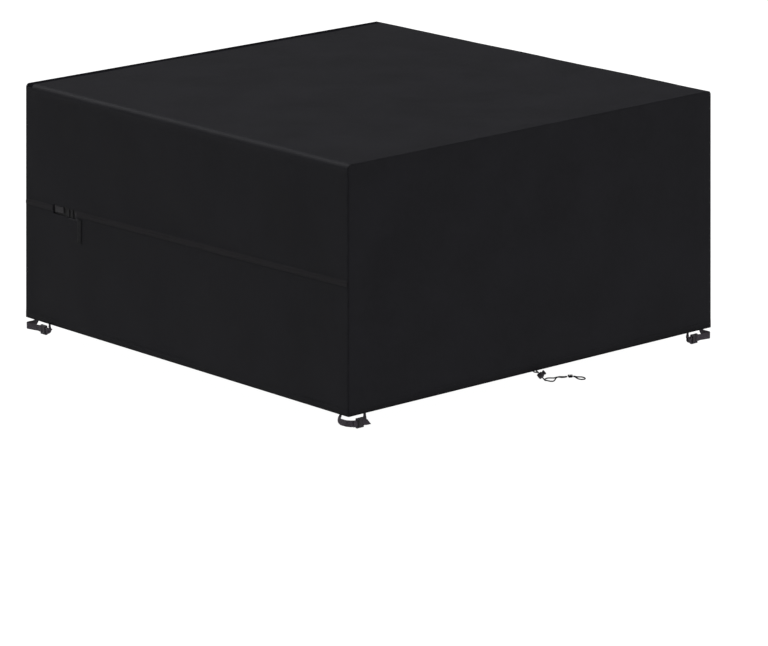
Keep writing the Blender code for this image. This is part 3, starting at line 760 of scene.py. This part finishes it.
# ---- webbing straps ----
# for each: the far corner, the corner towards the buckle, how far along the buckle starts,
# the drops of the strap, the buckle and the tail, and the tail's lean in degrees
STRAPS = {
    "front_left": ("rear_left", "front_right", 0.0280, 0.0205, 0.0245, 0.0275, -60),
    "rear_left": ("rear_right", "front_left", 0.0800, 0.0270, 0.0225, 0.0110, 60),
    "front_right": ("rear_right", "front_left", 0.0640, 0.0250, 0.0225, 0.0115, -60),
    "rear_right": ("front_right", "rear_left", 0.0400, 0.0220, 0.0250, 0.0220, 60),
}
CORNER_BEND = 0.012
WEB_WIDTH = 0.020
WEB = 0.0012
BAR = 0.0026
SEWN = -0.0030
SEWN_HEIGHT = 0.024
SOCKET_LENGTH = 0.0178
PLUG_LENGTH = 0.0095


def strap_frame(name):
    """Gives point, outward and onward directions along a strap's line round a corner."""
    far_side, buckle_side = STRAPS[name][:2]
    here = corner(HEM_CORNERS, name)
    back = corner(HEM_CORNERS, far_side) - here
    ahead = corner(HEM_CORNERS, buckle_side) - here
    back.z = ahead.z = 0
    back.normalize()
    ahead.normalize()
    centre = here + (back + ahead) * CORNER_BEND

    def at(along):
        turn = min(max((along / CORNER_BEND + 1) / 2, 0), 1) * math.pi / 2
        outward = -(ahead * math.cos(turn) + back * math.sin(turn)).normalized()
        onward = (ahead * math.sin(turn) - back * math.cos(turn)).normalized()
        if along < -CORNER_BEND:
            point = here - back * along
        elif along > CORNER_BEND:
            point = here + ahead * along
        else:
            point = centre + outward * CORNER_BEND
        return point, outward, onward
    return at


SECTION = [(-0.5, -0.22), (-0.47, -0.5), (-0.25, -0.46), (0.0, -0.43), (0.25, -0.46),
           (0.47, -0.5), (0.5, -0.22), (0.5, 0.22), (0.47, 0.5), (0.25, 0.46), (0.0, 0.43),
           (-0.25, 0.46), (-0.47, 0.5), (-0.5, 0.22)]


def ribbon(name, at, rows, node):
    """Webbing along rows of (along, out, up, turn, lean, gather)."""
    stations = smooth_path([Vector(row[:3]) for row in rows], 8)
    angles = smooth_path([Vector(row[3:]) for row in rows], 8)
    path, wides = [], []
    for station, angle in zip(stations, angles):
        point, outward, onward = at(station[0])
        path.append(point + outward * station[1] + UP * station[2])
        turn, lean = math.radians(angle[0]), math.radians(angle[1])
        wides.append((UP * math.cos(turn) + onward * math.sin(turn)) * math.cos(lean)
                     + outward * math.sin(lean))
    points, uvs, reach = [], [], 0.0
    for i, point in enumerate(path):
        onward = (path[min(i + 1, len(path) - 1)] - path[max(i - 1, 0)]).normalized()
        flat = onward.cross(wides[i]).normalized()
        wide = flat.cross(onward) * angles[i][2]
        if i:
            reach += (point - path[i - 1]).length
        for w, t in SECTION:
            points.append(point + wide * w * WEB_WIDTH + flat * t * WEB)
            uvs.append((w * WEB_WIDTH, reach))
    many = len(SECTION)
    faces = [(i * many + k, i * many + (k + 1) % many, (i + 1) * many + (k + 1) % many,
              (i + 1) * many + k) for i in range(len(path) - 1) for k in range(many)]
    faces.append(tuple(reversed(range(many))))
    faces.append(tuple(range(len(points) - many, len(points))))
    made = add_mesh(name, points, faces, uvs, WEBBING)
    shell = bmesh.new()
    shell.from_mesh(made.data)
    bmesh.ops.recalc_face_normals(shell, faces=shell.faces)
    shell.to_mesh(made.data)
    shell.free()
    return part_of(made, [node])


def round_bar(edge, way, out, low):
    wrap = (0.0026 + WEB) / 2 + GAP
    turn = [(-BAR, -wrap), (-0.0004, -wrap), (0.0012, -wrap * 0.68), (0.0018, 0.0),
            (0.0012, wrap * 0.68), (-0.0004, wrap), (-BAR, wrap)]
    return [(edge + way * along, out + across, -low, 0, 0, 1) for along, across in turn]


for name, values in STRAPS.items():
    start, drop, low, tail, lean = values[2:]
    at = strap_frame(name)
    out = 0.0018
    ribbon("webbing_" + name, at, [
        (-0.0380, SEWN, SEWN_HEIGHT, 90, 0, 0.5), (-0.0380, SEWN, 0.010, 90, 0, 0.5),
        (-0.0385, SEWN, -0.003, 88, 0, 0.5), (-0.0405, -0.0010, -drop * 0.50, 66, 0, 0.7),
        (-0.0395, 0.0012, -drop * 0.84, 34, 0, 0.95), (-0.0310, 0.0022, -drop, 6, 0, 1),
        (-0.0160, 0.0024, -drop, 0, 0, 1), (0.0, 0.0026, -drop, 0, 0, 1),
        (start * 0.45, 0.0014, -(drop + low) / 2, 0, 0, 1),
        (start - 0.0060, out - 0.0024, -low, 0, 0, 1),
    ] + round_bar(start + BAR, 1, out, low) + [
        (start - 0.0050, out + 0.0014, -low, 0, 0, 1),
        (start - 0.0110, out + 0.0006, -low, 0, 0, 1),
    ], "strap_" + name)
    end = start + PLUG_LENGTH + 0.0005 + SOCKET_LENGTH
    ribbon("tail_webbing_" + name, at, [
        (end + 0.0200, out + 0.0034, -tail, 0, lean, 1),
        (end + 0.0130, out + 0.0034, -(tail + low) / 2, 0, lean * 0.7, 1),
        (end + 0.0060, out + 0.0030, -low, 0, lean * 0.15, 1),
    ] + round_bar(end - BAR, -1, out, low)[::-1] + [
        (end + 0.0045, out - 0.0028, -low + 0.0006, 12, 0, 1),
        (end + 0.0092, SEWN, -low + 0.0080, 60, 0, 0.75),
        (end + 0.0095, SEWN, -0.0045, 90, 0, 0.5),
        (end + 0.0095, SEWN, 0.0100, 90, 0, 0.5),
        (end + 0.0095, SEWN, SEWN_HEIGHT, 90, 0, 0.5),
    ], "tail_strap_" + name)

# ---- drawcord: x, y and drop below the hem ----
BACK_STRAND = [
    (0.0030, -0.7600, -0.0080), (0.0043, -0.7603, 0.0010), (0.0095, -0.7642, 0.0083),
    (0.0134, -0.7704, 0.0165), (0.0153, -0.7735, 0.0206), (0.0173, -0.7766, 0.0247),
    (0.0202, -0.7781, 0.0282), (0.0242, -0.7769, 0.0304), (0.0288, -0.7736, 0.0312),
    (0.0363, -0.7683, 0.0325), (0.0480, -0.7601, 0.0350), (0.0630, -0.7516, 0.0385),
    (0.0780, -0.7436, 0.0428), (0.0930, -0.7346, 0.0475), (0.1080, -0.7261, 0.0522),
    (0.1220, -0.7181, 0.0565), (0.1320, -0.7128, 0.0584), (0.1405, -0.7116, 0.0588),
    (0.1485, -0.7134, 0.0598), (0.1550, -0.7176, 0.0610), (0.1622, -0.7215, 0.0610),
    (0.1699, -0.7252, 0.0600),
]
FRONT_STRAND = [
    (-0.0118, -0.7600, -0.0080), (-0.0108, -0.7603, -0.0020), (-0.0073, -0.7616, 0.0032),
    (-0.0013, -0.7638, 0.0056), (0.0063, -0.7668, 0.0075), (0.0087, -0.7705, 0.0114),
    (0.0106, -0.7736, 0.0155), (0.0131, -0.7775, 0.0207), (0.0156, -0.7815, 0.0259),
    (0.0185, -0.7830, 0.0296), (0.0225, -0.7818, 0.0320), (0.0272, -0.7784, 0.0334),
    (0.0350, -0.7729, 0.0362), (0.0470, -0.7654, 0.0407), (0.0610, -0.7574, 0.0462),
    (0.0760, -0.7484, 0.0517), (0.0900, -0.7404, 0.0562), (0.1040, -0.7319, 0.0604),
    (0.1180, -0.7229, 0.0630), (0.1320, -0.7130, 0.0634), (0.1430, -0.7051, 0.0634),
    (0.1520, -0.7008, 0.0634), (0.1607, -0.7016, 0.0634), (0.1668, -0.7070, 0.0634),
    (0.1695, -0.7142, 0.0624), (0.1725, -0.7214, 0.0604),
]
END_LOOP = [
    (0.1889, -0.7339, 0.0600), (0.1933, -0.7369, 0.0612), (0.1990, -0.7398, 0.0630),
    (0.2050, -0.7436, 0.0634), (0.2092, -0.7495, 0.0634), (0.2102, -0.7565, 0.0634),
    (0.2082, -0.7635, 0.0634), (0.2038, -0.7696, 0.0634), (0.1975, -0.7724, 0.0634),
    (0.1912, -0.7700, 0.0634), (0.1878, -0.7640, 0.0634), (0.1874, -0.7570, 0.0634),
    (0.1888, -0.7510, 0.0634), (0.1900, -0.7452, 0.0628), (0.1894, -0.7406, 0.0614),
    (0.1862, -0.7375, 0.0600),
]


def cord_tube(name, route, node):
    path = smooth_path([Vector((x, y, HEM_Z - drop)) for x, y, drop in route], 6)
    made = tube(name, path, CORD_DIAMETER / 2, CORD)
    part_of(made, [node])
    length = sum((b - a).length for a, b in zip(path, path[1:]))
    return made, path, length


knot_low, knot_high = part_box("cord_knot")
knot_middle = (knot_low + knot_high) / 2
KNOT_ANGLE = math.radians(-37)
KNOT_TURNS = 2.75
KNOT_LENGTH = 0.0146
knot_axis = Vector((math.cos(KNOT_ANGLE), math.sin(KNOT_ANGLE), 0))
knot_side = knot_axis.cross(UP).normalized()
turns = []
for k in range(97):
    share = k / 96
    angle = 2 * math.pi * KNOT_TURNS * share
    radius = 0.0037 - 0.0012 * abs(2 * share - 1) ** 4
    turns.append(knot_middle + knot_axis * KNOT_LENGTH * (share - 0.5)
                 + knot_side * math.cos(angle) * radius + UP * math.sin(angle) * radius)
knot = part_of(tube("knot_turns", turns, 0.0019, CORD, 12), ["cord_knot"])
for name, route, node in (("back_strand", BACK_STRAND, "cord_back_strand"),
                          ("front_strand", FRONT_STRAND, "cord_front_strand"),
                          ("end_loop", END_LOOP, "cord_end_loop")):
    made, path, length = cord_tube(name, route, node)

# ---- hard pieces keep their CAD solids, with finer edges and moulded plastic ----
for name, node in NODES.items():
    if name.startswith(("buckle_", "cord_lock")):
        node.data.materials.clear()
        node.data.materials.append(PLASTIC)
        edge = node.modifiers.new("edge", "BEVEL")
        edge.width = 0.0004
        edge.segments = 2
        edge.limit_method = "ANGLE"
        edge.angle_limit = math.radians(35)

# ---- floor and light ----
floor_mesh = bpy.data.meshes.new("floor")
floor_mesh.from_pydata([(-60, -60, FLOOR_Z), (60, -60, FLOOR_Z), (60, 60, FLOOR_Z),
                        (-60, 60, FLOOR_Z)], [], [(0, 1, 2, 3)])
floor = bpy.data.objects.new("floor", floor_mesh)
bpy.context.scene.collection.objects.link(floor)
floor_look = bpy.data.materials.new("floor")
floor_look.use_nodes = True
floor_shader = floor_look.node_tree.nodes["Principled BSDF"]
floor_shader.inputs["Base Color"].default_value = (0.1, 0.1, 0.1, 1)
floor_shader.inputs["Roughness"].default_value = 0.9
floor_shader.inputs["Specular IOR Level"].default_value = 0.0
floor_shader.inputs["Emission Color"].default_value = (1, 1, 1, 1)
floor_shader.inputs["Emission Strength"].default_value = 1.0
floor_mesh.materials.append(floor_look)

world = bpy.data.worlds.new("studio")
world.use_nodes = True
world.node_tree.nodes["Background"].inputs[0].default_value = (1, 1, 1, 1)
world.node_tree.nodes["Background"].inputs[1].default_value = 0.17
bpy.context.scene.world = world


def soft_sun(name, towards, strength, angle):
    """A broad far light that comes from the given direction."""
    data = bpy.data.lights.new(name, "SUN")
    data.energy = strength
    data.angle = math.radians(angle)
    made = bpy.data.objects.new(name, data)
    bpy.context.scene.collection.objects.link(made)
    made.rotation_euler = Vector(towards).to_track_quat("Z", "Y").to_euler()


soft_sun("back", (-0.16, 0.75, 0.65), 2.6, 36)
soft_sun("overhead", (0.25, -0.45, 1.0), 2.4, 60)
bpy.context.scene.view_settings.view_transform = "Standard"
